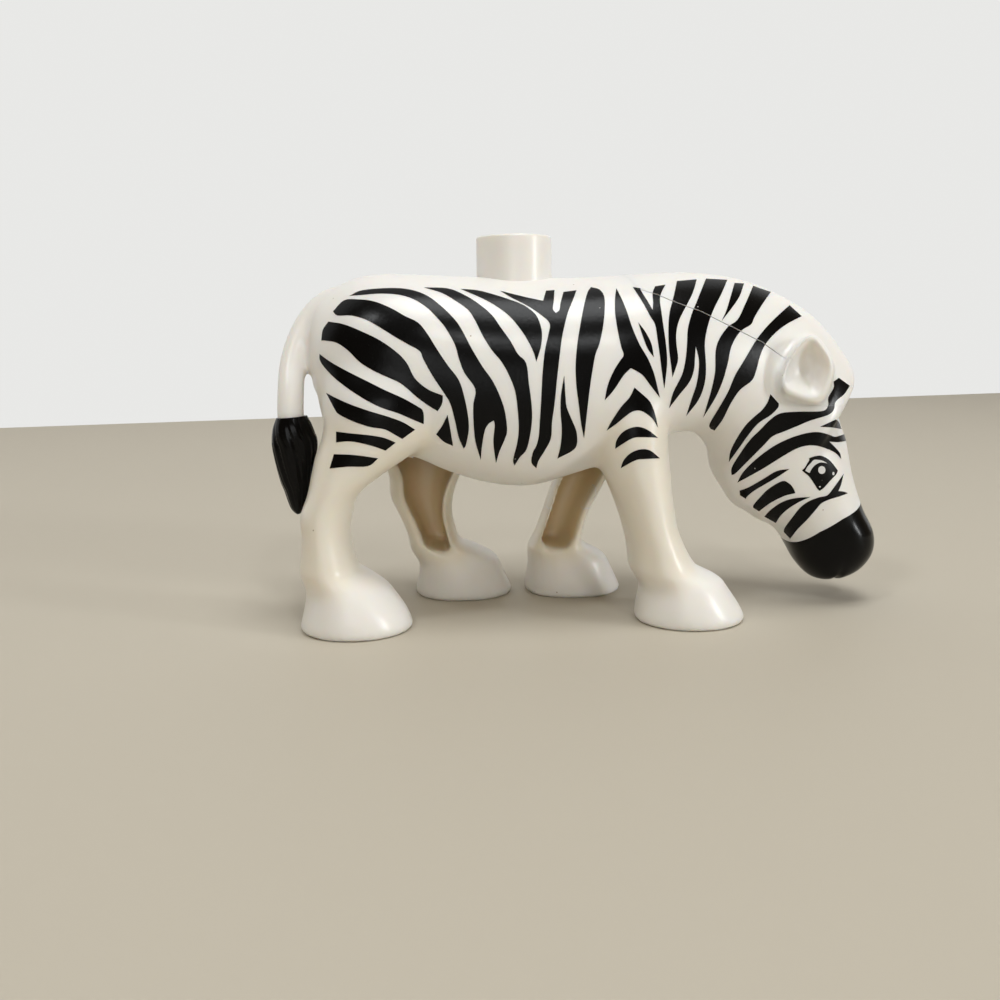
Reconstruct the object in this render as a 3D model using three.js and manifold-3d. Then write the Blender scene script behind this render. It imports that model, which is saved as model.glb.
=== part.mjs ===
// Toy zebra: a moulded animal figure with one building stud on its back.
// Millimetres, +Z up, +X toward the head, -Y is the side seen in the photograph.
// The origin is at the bottom centre of the figure's box, on the plane under the hooves.
import * as THREE from 'three';
import { mergeVertices } from 'three/addons/utils/BufferGeometryUtils.js';
import Module from 'manifold-3d';

const wasm = await Module();
wasm.setup();

// Driving dimensions of the whole figure
const figureLength = 77.4;
const backHeight = 42.5;
const barrelWidth = 26.4;
const studDiameter = 9.35;
const studHeight = 4.5;
const studEdgeRadius = 0.35;
const studPlaceShare = 0.393;

// Walls and fits
const wall = 2.0;
const legWall = 1.4;
const plateRecess = 0.8;
const seamGap = 0.3;
const overrun = 1.0;

// Hooves and legs
const hoofLength = 13.2;
const hoofWidth = 12.5;
const hoofTrack = 16.7;
const nearHindPlaceShare = 0.1318;
const farHindPlaceShare = 0.3062;
const farFrontPlaceShare = 0.5007;
const nearFrontPlaceShare = 0.6615;
const recessFloorHeight = 6.9;
const recessSquareness = 1.7;

// Mane insert with its ears
const insertWall = 3.4;
const lipDepth = 2.2;
const earLength = 8.6;
const earBreadth = 6.9;
const earDepth = 5.6;
const earRim = 1.0;
const earSpacing = 16.4;
const earAlongShare = 0.842;
const earHighShare = 0.718;
const earLean = 0.12;
const earTurn = 0.35;

// Muzzle moulding
const muzzleSpigotDiameter = 5.0;
const muzzleSpigotLength = 3.2;

// Tail and tuft
const tailDiameter = 3.5;
const tailTipSway = 5.8;
const tuftSpigotDiameter = 1.6;
const tuftSpigotLength = 2.4;
const tuftWidth = 4.6;

// Belly plate with its pegs, and the tubes that grip them
const plateLength = 24.0;
const plateWidth = 12.0;
const plateThickness = 2.0;
const platePlaceShare = 0.38;
const plateRimShare = 0.5;
const pegDiameter = 3.0;
const pegGrip = 5.0;
const pegSpacingShare = 0.54;
const tubeStandoff = 2.0;
const tubeWall = 1.1;

// Facets round and along the lofts
const bodySides = 30;
const cavitySides = 20;
const legSides = 20;
const tailSides = 14;
const earSides = 18;
const recessSides = 16;
const studEdgeSteps = 3;
const stepsPerStation = 2;
const coarseSteps = 1;

// Trunk, neck and head as slanting sections, from the rump to the end of the muzzle.
// Each row: top along, top height, bottom along, bottom height, half width, narrowing
// toward the top, squareness. Along is a share of the length, heights of the back height.
const bodySectionShares = [
  [0.065, 0.795, 0.065, 0.694, 0.182, 0.00, 1.00],
  [0.071, 0.861, 0.074, 0.602, 0.455, 0.00, 1.02],
  [0.090, 0.922, 0.088, 0.532, 0.674, 0.00, 1.05],
  [0.127, 0.969, 0.121, 0.494, 0.848, 0.00, 1.10],
  [0.173, 0.998, 0.173, 0.480, 0.947, 0.02, 1.15],
  [0.231, 1.000, 0.225, 0.461, 0.992, 0.03, 1.18],
  [0.289, 0.995, 0.283, 0.421, 1.000, 0.04, 1.18],
  [0.354, 0.991, 0.348, 0.388, 1.000, 0.05, 1.15],
  [0.419, 0.988, 0.412, 0.381, 1.000, 0.06, 1.15],
  [0.483, 0.988, 0.481, 0.414, 0.992, 0.08, 1.15],
  [0.548, 0.993, 0.541, 0.447, 0.970, 0.10, 1.15],
  [0.612, 1.000, 0.599, 0.499, 0.909, 0.13, 1.15],
  [0.683, 1.001, 0.660, 0.533, 0.818, 0.17, 1.12],
  [0.755, 0.984, 0.701, 0.519, 0.735, 0.20, 1.10],
  [0.823, 0.940, 0.722, 0.460, 0.674, 0.20, 1.05],
  [0.885, 0.872, 0.731, 0.409, 0.644, 0.17, 1.05],
  [0.931, 0.779, 0.748, 0.356, 0.629, 0.12, 1.05],
  [0.955, 0.693, 0.768, 0.316, 0.621, 0.08, 1.05],
  [0.937, 0.610, 0.790, 0.292, 0.598, 0.05, 1.05],
  [0.944, 0.509, 0.806, 0.262, 0.568, 0.03, 1.05],
  [0.957, 0.400, 0.827, 0.241, 0.530, 0.00, 1.05],
  [0.977, 0.299, 0.844, 0.202, 0.492, 0.00, 1.05],
  [0.997, 0.226, 0.860, 0.162, 0.485, 0.00, 1.05],
  [1.000, 0.165, 0.877, 0.118, 0.432, 0.00, 1.05],
  [0.987, 0.118, 0.898, 0.082, 0.326, 0.00, 1.00],
  [0.964, 0.085, 0.922, 0.071, 0.167, 0.00, 1.00],
];
const firstCavitySection = 1;
const lastCavitySection = 18;

// Legs as level sections. Heights are shares of the back height; the inner and outer faces
// are shares of the hoof width from the hoof's middle; rear and front are shares of the
// hoof length from there.
const legHeightShares = [
  0, 0.012, 0.052, 0.099, 0.122, 0.151, 0.174, 0.212, 0.271, 0.329, 0.388, 0.447,
  0.501, 0.565, 0.659, 0.753, 0.847, 0.906,
];
const legInnerShares = [
  0.48, 0.5, 0.49, 0.465, 0.445, 0.43, 0.43, 0.43, 0.43, 0.43, 0.43, 0.43,
  0.43, 0.35, 0.27, 0.19, 0.19, 0.15,
];
const legFlatnessShares = [
  1, 1, 1.02, 1.1, 1.25, 1.5, 1.7, 1.9, 2, 2, 2, 2,
  2, 1.8, 1.5, 1.2, 1, 1,
];
const hindOuterShares = [
  0.48, 0.5, 0.485, 0.445, 0.42, 0.395, 0.385, 0.38, 0.375, 0.38, 0.395, 0.415,
  0.435, 0.445, 0.43, 0.3, 0.05, -0.15,
];
const frontOuterShares = [
  0.48, 0.5, 0.485, 0.445, 0.42, 0.395, 0.38, 0.37, 0.365, 0.365, 0.37, 0.38,
  0.39, 0.385, 0.335, 0.12, -0.12, -0.25,
];
const legs = [
  {
    side: -1,
    placeShare: nearHindPlaceShare,
    outerShares: hindOuterShares,
    rearShares: [-0.48, -0.5, -0.477, -0.45, -0.455, -0.49, -0.5, -0.485, -0.47, -0.475,
      -0.405, -0.36, -0.315, -0.24, -0.25, -0.19, -0.04, 0.13],
    frontShares: [0.48, 0.5, 0.462, 0.371, 0.31, 0.197, 0.091, 0.023, -0.03, -0.015,
      0.068, 0.288, 0.538, 0.773, 0.864, 0.803, 0.66, 0.508],
  },
  {
    side: 1,
    placeShare: farHindPlaceShare,
    outerShares: hindOuterShares,
    rearShares: [-0.48, -0.5, -0.47, -0.455, -0.485, -0.538, -0.553, -0.576, -0.652, -0.735,
      -0.742, -0.82, -0.93, -1.045, -1.16, -1.18, -1.08, -0.89],
    frontShares: [0.48, 0.5, 0.439, 0.364, 0.31, 0.174, 0.023, -0.045, -0.098, -0.091,
      -0.023, 0.068, 0.144, 0.159, 0.129, -0.02, -0.33, -0.515],
  },
  {
    side: -1,
    placeShare: nearFrontPlaceShare,
    outerShares: frontOuterShares,
    rearShares: [-0.48, -0.5, -0.5, -0.47, -0.515, -0.553, -0.561, -0.568, -0.606, -0.667,
      -0.742, -0.826, -0.879, -0.924, -0.939, -0.864, -0.705, -0.6],
    frontShares: [0.48, 0.5, 0.462, 0.386, 0.326, 0.152, 0.038, -0.045, -0.121, -0.167,
      -0.205, -0.227, -0.242, -0.235, -0.212, -0.227, -0.36, -0.45],
  },
  {
    side: 1,
    placeShare: farFrontPlaceShare,
    outerShares: frontOuterShares,
    rearShares: [-0.48, -0.5, -0.477, -0.458, -0.462, -0.458, -0.413, -0.36, -0.292, -0.231,
      -0.163, -0.102, -0.057, -0.027, 0.004, 0.08, 0.239, 0.35],
    frontShares: [0.48, 0.5, 0.451, 0.345, 0.277, 0.17, 0.117, 0.14, 0.201, 0.284,
      0.375, 0.466, 0.549, 0.625, 0.693, 0.693, 0.58, 0.5],
  },
];
const firstRecessRow = 5;
const lastRecessRow = 13;

// Seam of the mane insert in side view, from the withers round the ear to the forehead,
// then the paint line of the muzzle from the chin to the nose: along and height shares.
const seamShares = [
  [0.559, 1.024], [0.574, 0.948], [0.602, 0.932], [0.633, 0.907], [0.668, 0.884],
  [0.709, 0.848], [0.767, 0.799], [0.788, 0.775], [0.811, 0.746], [0.801, 0.720],
  [0.796, 0.668], [0.805, 0.635], [0.835, 0.619], [0.890, 0.614], [0.981, 0.609],
];
const muzzleLineShares = [
  [0.780, 0.143], [0.835, 0.166], [0.858, 0.197], [0.884, 0.226],
  [0.919, 0.259], [0.952, 0.288], [1.019, 0.355],
];

// Tail path and the tuft's sections down it: along and height shares, and the sway
// toward the near hind leg as a share of the sway at the tip.
const tailPathShares = [
  [0.15, 0.895, 0], [0.118, 0.921, 0.01], [0.083, 0.887, 0.1], [0.056, 0.826, 0.28],
  [0.042, 0.744, 0.55], [0.037, 0.67, 0.85], [0.036, 0.61, 1],
];
const tuftSectionShares = [
  [0.038, 0.598, 0.41, 0.78],
  [0.039, 0.576, 0.49, 0.93],
  [0.041, 0.539, 0.59, 1.00],
  [0.041, 0.494, 0.57, 1.00],
  [0.044, 0.445, 0.48, 0.96],
  [0.045, 0.402, 0.38, 0.83],
  [0.044, 0.367, 0.28, 0.61],
  [0.043, 0.341, 0.17, 0.37],
  [0.041, 0.325, 0.08, 0.15],
];

const along = (share) => share * figureLength;
const high = (share) => share * backHeight;

// One closed body from rings with the same number of points, with flat ends.
function loft(rings) {
  const sides = rings[0].length;
  const positions = rings.flat().flatMap((point) => [point.x, point.y, point.z]);
  const indices = [];
  for (let ring = 0; ring + 1 < rings.length; ring += 1) {
    for (let side = 0; side < sides; side += 1) {
      const next = (side + 1) % sides;
      const a = ring * sides + side;
      const b = ring * sides + next;
      indices.push(a, b, b + sides, a, b + sides, a + sides);
    }
  }
  for (const ring of [0, rings.length - 1]) {
    const middle = positions.length / 3;
    const centre = new THREE.Vector3();
    rings[ring].forEach((point) => centre.addScaledVector(point, 1 / sides));
    positions.push(centre.x, centre.y, centre.z);
    for (let side = 0; side < sides; side += 1) {
      const a = ring * sides + side;
      const b = ring * sides + ((side + 1) % sides);
      indices.push(...(ring === 0 ? [middle, b, a] : [middle, a, b]));
    }
  }
  const geometry = new THREE.BufferGeometry();
  geometry.setAttribute('position', new THREE.Float32BufferAttribute(positions, 3));
  geometry.setIndex(signedVolume(positions, indices) < 0 ? indices.reverse() : indices);
  return geometry;
}

function signedVolume(positions, indices) {
  const corner = (index) => new THREE.Vector3().fromArray(positions, index * 3);
  let volume = 0;
  for (let i = 0; i < indices.length; i += 3) {
    const [a, b, c] = [corner(indices[i]), corner(indices[i + 1]), corner(indices[i + 2])];
    volume += a.dot(b.cross(c)) / 6;
  }
  return volume;
}

// A solid for joining and cutting, and its mesh afterwards.
function solid(geometry) {
  const bare = geometry.clone();
  bare.deleteAttribute('normal');
  bare.deleteAttribute('uv');
  const merged = mergeVertices(bare);
  return new wasm.Manifold(new wasm.Mesh({
    numProp: 3,
    vertProperties: new Float32Array(merged.attributes.position.array),
    triVerts: new Uint32Array(merged.index.array),
  }));
}

function geometryOf(body) {
  const mesh = body.getMesh();
  const geometry = new THREE.BufferGeometry();
  geometry.setAttribute('position', new THREE.BufferAttribute(mesh.vertProperties, mesh.numProp));
  geometry.setIndex(new THREE.BufferAttribute(mesh.triVerts, 1));
  geometry.computeVertexNormals();
  return geometry;
}

// A closed outline in side view, carried through the whole width of the figure.
function sideCut(outline, halfWidth) {
  const shape = new THREE.Shape(outline.map(([x, z]) => new THREE.Vector2(x, z)));
  const block = new THREE.ExtrudeGeometry(shape, { depth: 2 * halfWidth, bevelEnabled: false });
  block.rotateX(Math.PI / 2);
  block.translate(0, halfWidth, 0);
  return solid(block);
}

// A round rod from one point to another.
function pin(diameter, from, to) {
  const run = new THREE.Vector3().subVectors(to, from);
  const upright = new THREE.Vector3(0, 1, 0);
  const turn = new THREE.Quaternion().setFromUnitVectors(upright, run.clone().normalize());
  const rod = new THREE.CylinderGeometry(diameter / 2, diameter / 2, run.length(), cavitySides);
  rod.translate(0, run.length() / 2, 0);
  rod.applyQuaternion(turn);
  rod.translate(from.x, from.y, from.z);
  return solid(rod);
}

// Rows of numbers smoothed into a finer run of rows by curves through them.
function smoothRows(rows, steps) {
  const columns = rows[0].length;
  const curves = [];
  for (let column = 0; column < columns; column += 1) {
    const knots = rows.map((row, index) => new THREE.Vector3(row[column], index, 0));
    curves.push(new THREE.CatmullRomCurve3(knots, false, 'catmullrom'));
  }
  const count = (rows.length - 1) * steps;
  return Array.from({ length: count + 1 }, (_, i) => curves.map((curve) => curve.getPoint(i / count).x));
}

const signedPower = (value, power) => Math.sign(value) * Math.abs(value) ** power;

// Trunk, neck and head, drawn in by an inset for the hollow inside.
function bodyLoft(inset, sides, steps, first = 0, last = bodySectionShares.length - 1) {
  const rows = bodySectionShares.slice(first, last + 1);
  const rings = smoothRows(rows, steps).map((row) => {
    const [topAlong, topHigh, bottomAlong, bottomHigh, widthShare, narrowing, squareness] = row;
    const top = new THREE.Vector3(along(topAlong), 0, high(topHigh));
    const bottom = new THREE.Vector3(along(bottomAlong), 0, high(bottomHigh));
    const centre = top.clone().lerp(bottom, 1 / 2);
    const upward = top.clone().sub(bottom);
    const halfHeight = upward.length() / 2 - inset;
    const halfWidth = widthShare * barrelWidth / 2 - inset;
    upward.normalize();
    return Array.from({ length: sides }, (_, i) => {
      const angle = (i / sides) * 2 * Math.PI;
      const up = signedPower(Math.cos(angle), 1 / squareness);
      const out = signedPower(Math.sin(angle), 1 / squareness) * (1 - narrowing * up);
      const point = centre.clone().addScaledVector(upward, up * halfHeight);
      point.y = out * halfWidth;
      return point;
    });
  });
  return solid(loft(rings));
}

const outerBody = () => bodyLoft(0, bodySides, stepsPerStation);

function hollowBody(inset) {
  return bodyLoft(inset, cavitySides, coarseSteps, firstCavitySection, lastCavitySection);
}

// Level rings of one leg, or of the recess that hollows it, from one row to another.
function legRings(leg, firstRow, lastRow, { sides, inset, innerInset, squareness }) {
  const rows = legHeightShares.map((height, i) => [
    height, leg.rearShares[i], leg.frontShares[i], legInnerShares[i], leg.outerShares[i],
    legFlatnessShares[i],
  ]).slice(firstRow, lastRow + 1);
  return smoothRows(rows, coarseSteps).map((row) => {
    const [height, rear, front, inner, outer, flatness] = row;
    const rearX = along(leg.placeShare) + rear * hoofLength + inset;
    const frontX = along(leg.placeShare) + front * hoofLength - inset;
    const innerY = hoofTrack / 2 - inner * hoofWidth + innerInset;
    const outerY = hoofTrack / 2 + outer * hoofWidth - inset;
    return Array.from({ length: sides }, (_, i) => {
      const angle = (i / sides) * 2 * Math.PI;
      const power = 1 / Math.max(squareness, Math.sin(angle) > 0 ? 1 : flatness);
      const across = signedPower(Math.cos(angle), power);
      const out = signedPower(Math.sin(angle), power);
      const x = (rearX + frontX) / 2 + across * (frontX - rearX) / 2;
      const y = (innerY + outerY) / 2 + out * (outerY - innerY) / 2;
      return new THREE.Vector3(x, leg.side * y, high(height));
    });
  });
}

// One leg from its hoof up into the trunk, grown all round where it is a cutter.
function legSolid(leg, growth) {
  const look = { sides: legSides, inset: -growth, innerInset: -growth, squareness: 1 };
  return solid(loft(legRings(leg, 0, legHeightShares.length - 1, look)));
}

// The recess of one leg, open on its inner face and up into the trunk.
function legRecess(leg) {
  const rings = legRings(leg, firstRecessRow, lastRecessRow, {
    sides: recessSides,
    inset: legWall,
    innerInset: -2 * legWall,
    squareness: recessSquareness,
  });
  rings[0].forEach((point) => { point.z = recessFloorHeight; });
  return solid(loft(rings));
}

// A round bar along a list of points, with a radius in its plane and one across.
function bar(path, sides) {
  const spine = path.map((place) => place.centre);
  const rings = path.map(({ centre, deep, wide }, i) => {
    const before = spine[Math.max(i - 1, 0)];
    const after = spine[Math.min(i + 1, spine.length - 1)];
    const run = new THREE.Vector3().subVectors(after, before).normalize();
    const across = new THREE.Vector3(0, 1, 0).addScaledVector(run, -run.y).normalize();
    const deepway = new THREE.Vector3().crossVectors(run, across);
    return Array.from({ length: sides }, (_, side) => {
      const angle = (side / sides) * 2 * Math.PI;
      return centre.clone()
        .addScaledVector(deepway, deep * Math.cos(angle))
        .addScaledVector(across, wide * Math.sin(angle));
    });
  });
  return solid(loft(rings));
}

function tailPlace([alongShare, highShare, swayShare]) {
  return new THREE.Vector3(along(alongShare), -swayShare * tailTipSway, high(highShare));
}

function tail() {
  const path = smoothRows(tailPathShares, stepsPerStation).map((row) => ({
    centre: tailPlace(row),
    deep: tailDiameter / 2,
    wide: tailDiameter / 2,
  }));
  return bar(path, tailSides);
}

function tuftPlaces() {
  return smoothRows(tuftSectionShares, coarseSteps).map((row) => {
    const [alongShare, highShare, deepShare, wideShare] = row;
    return {
      centre: new THREE.Vector3(along(alongShare), -tailTipSway, high(highShare)),
      deep: deepShare * tuftWidth,
      wide: wideShare * tuftWidth / 2,
    };
  });
}

function tuftPin(diameter, length) {
  const places = tuftPlaces();
  const root = places[coarseSteps].centre;
  const start = places[0].centre;
  const tailEnd = tailPlace(tailPathShares[tailPathShares.length - 2]);
  const rise = tailEnd.clone().sub(start).normalize();
  return pin(diameter, root, start.clone().addScaledVector(rise, length));
}

// A side-view line moved sideways by a gap, to the right of its run when positive.
function shiftedLine(shares, gap) {
  const points = shares.map(([x, z]) => new THREE.Vector2(along(x), high(z)));
  const runs = points.slice(1).map((point, i) => point.clone().sub(points[i]).normalize());
  return points.map((point, i) => {
    const before = runs[Math.max(i - 1, 0)];
    const after = runs[Math.min(i, runs.length - 1)];
    const normal = new THREE.Vector2(before.y + after.y, -before.x - after.x).normalize();
    const spread = normal.dot(new THREE.Vector2(after.y, -after.x));
    return point.clone().addScaledVector(normal, gap / spread).toArray();
  });
}

// Everything above the seam of the mane insert, widened past it by a gap.
function aboveSeam(gap) {
  const seam = shiftedLine(seamShares, gap);
  const roof = seam[0][1] + overrun;
  const ahead = figureLength + overrun;
  const front = seam[seam.length - 1][1];
  return sideCut([[seam[0][0], roof], ...seam, [ahead, front], [ahead, roof]], barrelWidth);
}

// Everything below the muzzle's line, widened past it by a gap.
function belowMuzzleLine(gap) {
  const line = shiftedLine(muzzleLineShares, -gap);
  const ahead = line[line.length - 1][0];
  return sideCut([...line, [ahead, -overrun], [line[0][0], -overrun]], barrelWidth);
}

function muzzlePin(diameter, length) {
  const middle = Math.floor(muzzleLineShares.length / 2);
  const [x, z] = muzzleLineShares[middle];
  const [beforeX, beforeZ] = muzzleLineShares[middle - 1];
  const slope = new THREE.Vector3(along(x - beforeX), 0, high(z - beforeZ)).normalize();
  const inward = new THREE.Vector3(-slope.z, 0, slope.x);
  const seat = new THREE.Vector3(along(x), 0, high(z));
  const foot = seat.clone().addScaledVector(inward, -length);
  return pin(diameter, foot, seat.addScaledVector(inward, length));
}

// The round leaf of one ear on the side of the head, grown all round where it is a cutter.
function earLeaf(side, growth) {
  return placedEar(side, [earBreadth + growth, earDepth + growth, earLength + growth], 0);
}

// The hollow that cups an ear on its outer side.
function earCup(side) {
  const size = [earBreadth - 2 * earRim, earDepth - earRim, earLength - 2 * earRim];
  return placedEar(side, size, side * earDepth / 3);
}

function placedEar(side, [breadth, depth, length], outward) {
  const form = new THREE.SphereGeometry(1 / 2, earSides, earSides / 2);
  form.rotateX(Math.PI / 2);
  form.scale(breadth, depth, length);
  form.translate(0, outward, 0);
  form.rotateY(-earLean);
  form.rotateZ(side * earTurn);
  form.translate(along(earAlongShare), side * earSpacing / 2, high(earHighShare));
  return solid(form);
}

const ear = (side) => earLeaf(side, 0).subtract(earCup(side));

// The opening under the belly, or the plate's blank when drawn in by a clearance.
function bellyBlank(clearance, legGrowth) {
  const length = plateLength - 2 * clearance;
  const width = plateWidth - 2 * clearance;
  const blank = new THREE.BoxGeometry(length, width, high(plateRimShare));
  blank.translate(along(platePlaceShare), 0, high(plateRimShare) / 2);
  return solid(blank).subtract(allOf(legs.map((leg) => legSolid(leg, legGrowth))));
}

// Height of the belly's underside at a place along the figure.
function bellyHeight(x) {
  const next = bodySectionShares.findIndex((row) => along(row[2]) > x);
  const [before, after] = [bodySectionShares[next - 1], bodySectionShares[next]];
  const reach = (x - along(before[2])) / along(after[2] - before[2]);
  return high(before[3] + reach * (after[3] - before[3]));
}

// Height of the foot of the tube that grips the peg at a place along the figure.
const tubeFoot = (x) => bellyHeight(x) + plateRecess + plateThickness + tubeStandoff;

// Upright pins on the pegs' places, from a height to another.
function pegPins(diameter, lowAt, topAt) {
  return allOf([-1, 1].map((end) => {
    const x = along(platePlaceShare) + end * pegSpacingShare * plateLength / 2;
    return pin(diameter, new THREE.Vector3(x, 0, lowAt(x)), new THREE.Vector3(x, 0, topAt(x)));
  }));
}

// The stud with a rounded top edge, from inside the back's wall.
function stud() {
  const radius = studDiameter / 2;
  const top = backHeight + studHeight;
  const low = backHeight - wall;
  const profile = [new THREE.Vector2(0, low), new THREE.Vector2(radius, low)];
  for (let step = 0; step <= studEdgeSteps; step += 1) {
    const turn = (step / studEdgeSteps) * Math.PI / 2;
    const across = radius - studEdgeRadius * (1 - Math.cos(turn));
    profile.push(new THREE.Vector2(across, top - studEdgeRadius * (1 - Math.sin(turn))));
  }
  profile.push(new THREE.Vector2(0, top));
  const button = new THREE.LatheGeometry(profile, bodySides);
  button.rotateX(Math.PI / 2);
  button.translate(along(studPlaceShare), 0, 0);
  return solid(button);
}

const allOf = (solids) => solids.reduce((whole, piece) => whole.add(piece));

// Body: trunk, neck, head, four legs, tail and stud in one hollow moulding.
function bodySolid() {
  const ceiling = backHeight - wall / 2;
  const tubeBore = pegDiameter + 2 * seamGap;
  const boreTop = (x) => tubeFoot(x) + pegGrip + seamGap;
  return allOf([outerBody(), ...legs.map((leg) => legSolid(leg, 0)), tail(), stud()])
    .subtract(hollowBody(wall))
    .subtract(allOf(legs.map(legRecess)))
    .subtract(bellyBlank(0, 0))
    .add(pegPins(tubeBore + 2 * tubeWall, tubeFoot, () => ceiling))
    .subtract(pegPins(tubeBore, (x) => tubeFoot(x) - overrun, boreTop))
    .subtract(aboveSeam(seamGap))
    .subtract(earLeaf(-1, 2 * seamGap))
    .subtract(earLeaf(1, 2 * seamGap))
    .subtract(belowMuzzleLine(seamGap))
    .subtract(muzzlePin(muzzleSpigotDiameter + 2 * seamGap, muzzleSpigotLength + seamGap))
    .subtract(tuftPin(tuftSpigotDiameter + 2 * seamGap, tuftSpigotLength + seamGap));
}

// Mane insert: the crest of the neck with both ears and a lip that seats inside the body.
function maneInsertSolid() {
  const lip = hollowBody(wall + seamGap).intersect(aboveSeam(lipDepth));
  return outerBody().intersect(aboveSeam(0))
    .add(lip)
    .subtract(hollowBody(insertWall))
    .add(ear(-1))
    .add(ear(1));
}

// Belly plate: follows the belly's curve and clears the legs, with two pegs on top.
function bellyPlateSolid() {
  const plateMidst = (x) => bellyHeight(x) + plateRecess + plateThickness / 2;
  const pegs = pegPins(pegDiameter, plateMidst, (x) => tubeFoot(x) + pegGrip);
  return outerBody()
    .subtract(hollowBody(plateRecess + plateThickness))
    .intersect(bellyBlank(seamGap, seamGap))
    .intersect(hollowBody(plateRecess))
    .add(pegs);
}

function muzzleSolid() {
  return outerBody()
    .intersect(belowMuzzleLine(0))
    .add(muzzlePin(muzzleSpigotDiameter, muzzleSpigotLength));
}

// Tail tuft: lies against the back of the near hind leg, with a spigot into the tail.
function tuftSolid() {
  return bar(tuftPlaces(), tailSides)
    .subtract(legSolid(legs[0], seamGap))
    .add(tuftPin(tuftSpigotDiameter, tuftSpigotLength));
}

const white = { color: 0xf2f1ec, roughness: 0.32, metalness: 0 };
const black = { color: 0x0b0b0c, roughness: 0.2, metalness: 0 };
const pieces = [
  ['body_shell', bodySolid(), white],
  ['mane_insert', maneInsertSolid(), white],
  ['belly_plate', bellyPlateSolid(), white],
  ['muzzle_cap', muzzleSolid(), black],
  ['tail_tuft', tuftSolid(), black],
];

const zebra = new THREE.Group();
for (const [name, body, look] of pieces) {
  const mesh = new THREE.Mesh(geometryOf(body), new THREE.MeshStandardMaterial(look));
  mesh.name = name;
  zebra.add(mesh);
}

// The pieces are built from the tail end; this sets the origin under the middle of the box.
const box = new THREE.Box3().setFromObject(zebra);
const middle = box.getCenter(new THREE.Vector3());
for (const mesh of zebra.children) {
  mesh.position.set(-middle.x, -middle.y, -box.min.z);
}

export default zebra;
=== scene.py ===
import math

import bpy
import numpy as np
from mathutils import Matrix, Vector
from mathutils.bvhtree import BVHTree
from mathutils.geometry import tessellate_polygon


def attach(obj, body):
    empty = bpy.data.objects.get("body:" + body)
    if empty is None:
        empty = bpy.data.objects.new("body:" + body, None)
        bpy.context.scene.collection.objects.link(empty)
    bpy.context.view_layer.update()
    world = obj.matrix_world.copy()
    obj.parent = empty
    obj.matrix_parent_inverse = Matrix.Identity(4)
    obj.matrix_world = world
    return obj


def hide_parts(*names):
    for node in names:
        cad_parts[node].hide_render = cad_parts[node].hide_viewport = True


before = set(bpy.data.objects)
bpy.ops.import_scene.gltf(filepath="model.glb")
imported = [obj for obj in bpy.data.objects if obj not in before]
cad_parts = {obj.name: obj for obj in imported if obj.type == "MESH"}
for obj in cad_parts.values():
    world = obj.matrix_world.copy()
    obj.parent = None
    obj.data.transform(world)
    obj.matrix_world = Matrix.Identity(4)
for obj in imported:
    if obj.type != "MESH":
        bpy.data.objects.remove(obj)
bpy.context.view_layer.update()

MM = 0.001
ACROSS, UP = 1, 2

# Main sizes of the moulding, the same as in its solids apart from the foot and the squareness
# of the hollows in the legs, the tail's thickness and the cut for the belly plate
FIGURE_LENGTH = 77.4
BACK_HEIGHT = 42.5
BARREL_WIDTH = 26.4
TAIL_END = -38.953
STUD_WIDTH = 9.35
STUD_TOP = 47.0
STUD_PLACE = -8.553
STUD_ROOT = 2.0
STUD_EDGE = 0.28
HOOF_LENGTH = 13.2
HOOF_WIDTH = 12.5
HOOF_TRACK = 16.7
RECESS_RIM = 1.55
RECESS_REACH = 2.8
RECESS_FLOOR = 6.6
RECESS_FOOT_ROUNDING = 1.7
RECESS_SQUARENESS = 1.55
RECESS_NARROWEST = 0.3
TAIL_WIDTH = 3.2
TAIL_SWAY = 5.8
TUFT_WIDTH = 4.6
PLATE_LENGTH = 24.0
PLATE_WIDTH = 12.0
PLATE_PLACE = -9.541
PLATE_CUT_FOOT = 12.0
PLATE_CUT_TOP = 21.25

# Fineness of the moulded skin, how far the blends at the roots of the legs and at those of
# the tail and ears reach, and how many rounds of smoothing they get
SKIN_GRAIN = 0.38
LEG_BLEND = 1.4
FINE_BLEND = 0.6
BLEND_ROUNDS = 40

# The seam's gap where it shows and where it is shut, how far the prints stay off it, and
# the height of the prints
HAIRLINE = 0.075
SHUT_GAP = 0.012
BARE_EDGE = 0.05
PRINT_HEIGHT = 0.03

# How far the blends stay off the hollows, and the reach and softness of the rims of the
# hollows and of the ears
HOLLOW_MARGIN = 1.0
RIM_REACH = 0.45
RIM_ROUNDS = 12

# Painted warm shade in the hollows, standing in for their shade and warm bounced light: the depth
# over which it comes in, how far off the hollow's walls it ends and over how much it fades, and
# how much of it the rims have and how far
PAINTED_SHADE_DEPTH = 2.5
PAINTED_SHADE_END = 0.6
PAINTED_SHADE_FADE = 0.4
RIM_PAINTED_SHADE = 0.5
RIM_PAINTED_SHADE_REACH = 2.0

# Share by which each round of smoothing moves a point, rounds for the whole skin, and the
# least weight at which a point is smoothed with a blend or a rim
SMOOTHING = 0.5
SKIN_ROUNDS = 6
LEAST_WEIGHT = 0.02

# In-between steps in the rows of the sections, the tail, the tuft, the prints and the ear
SECTION_STEPS = 6
TAIL_STEPS = 8
TUFT_STEPS = 10
PRINT_STEPS = 4
EAR_STEPS = 3

# Turn in an outline that counts as a sharp corner, and the greatest turn between faces that
# is shaded smooth, in degrees
SHARP_CORNER = 52
SMOOTH_TURN = 38

# Where the blocks that cut the prints begin and end across the near side, and how far the
# blocks that part the pieces reach ahead of the figure and beyond it above and below
PRINT_REACH = (-17, -0.2)
BLOCK_AHEAD = 2
BLOCK_BEYOND = 1

# Mouth line across the underside of the muzzle: a pixel and a place across the figure, then
# its width and depth
MOUTH_PLACE = (831, 576, -1.6)
MOUTH_WIDTH = 0.4
MOUTH_DEPTH = 0.35

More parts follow.
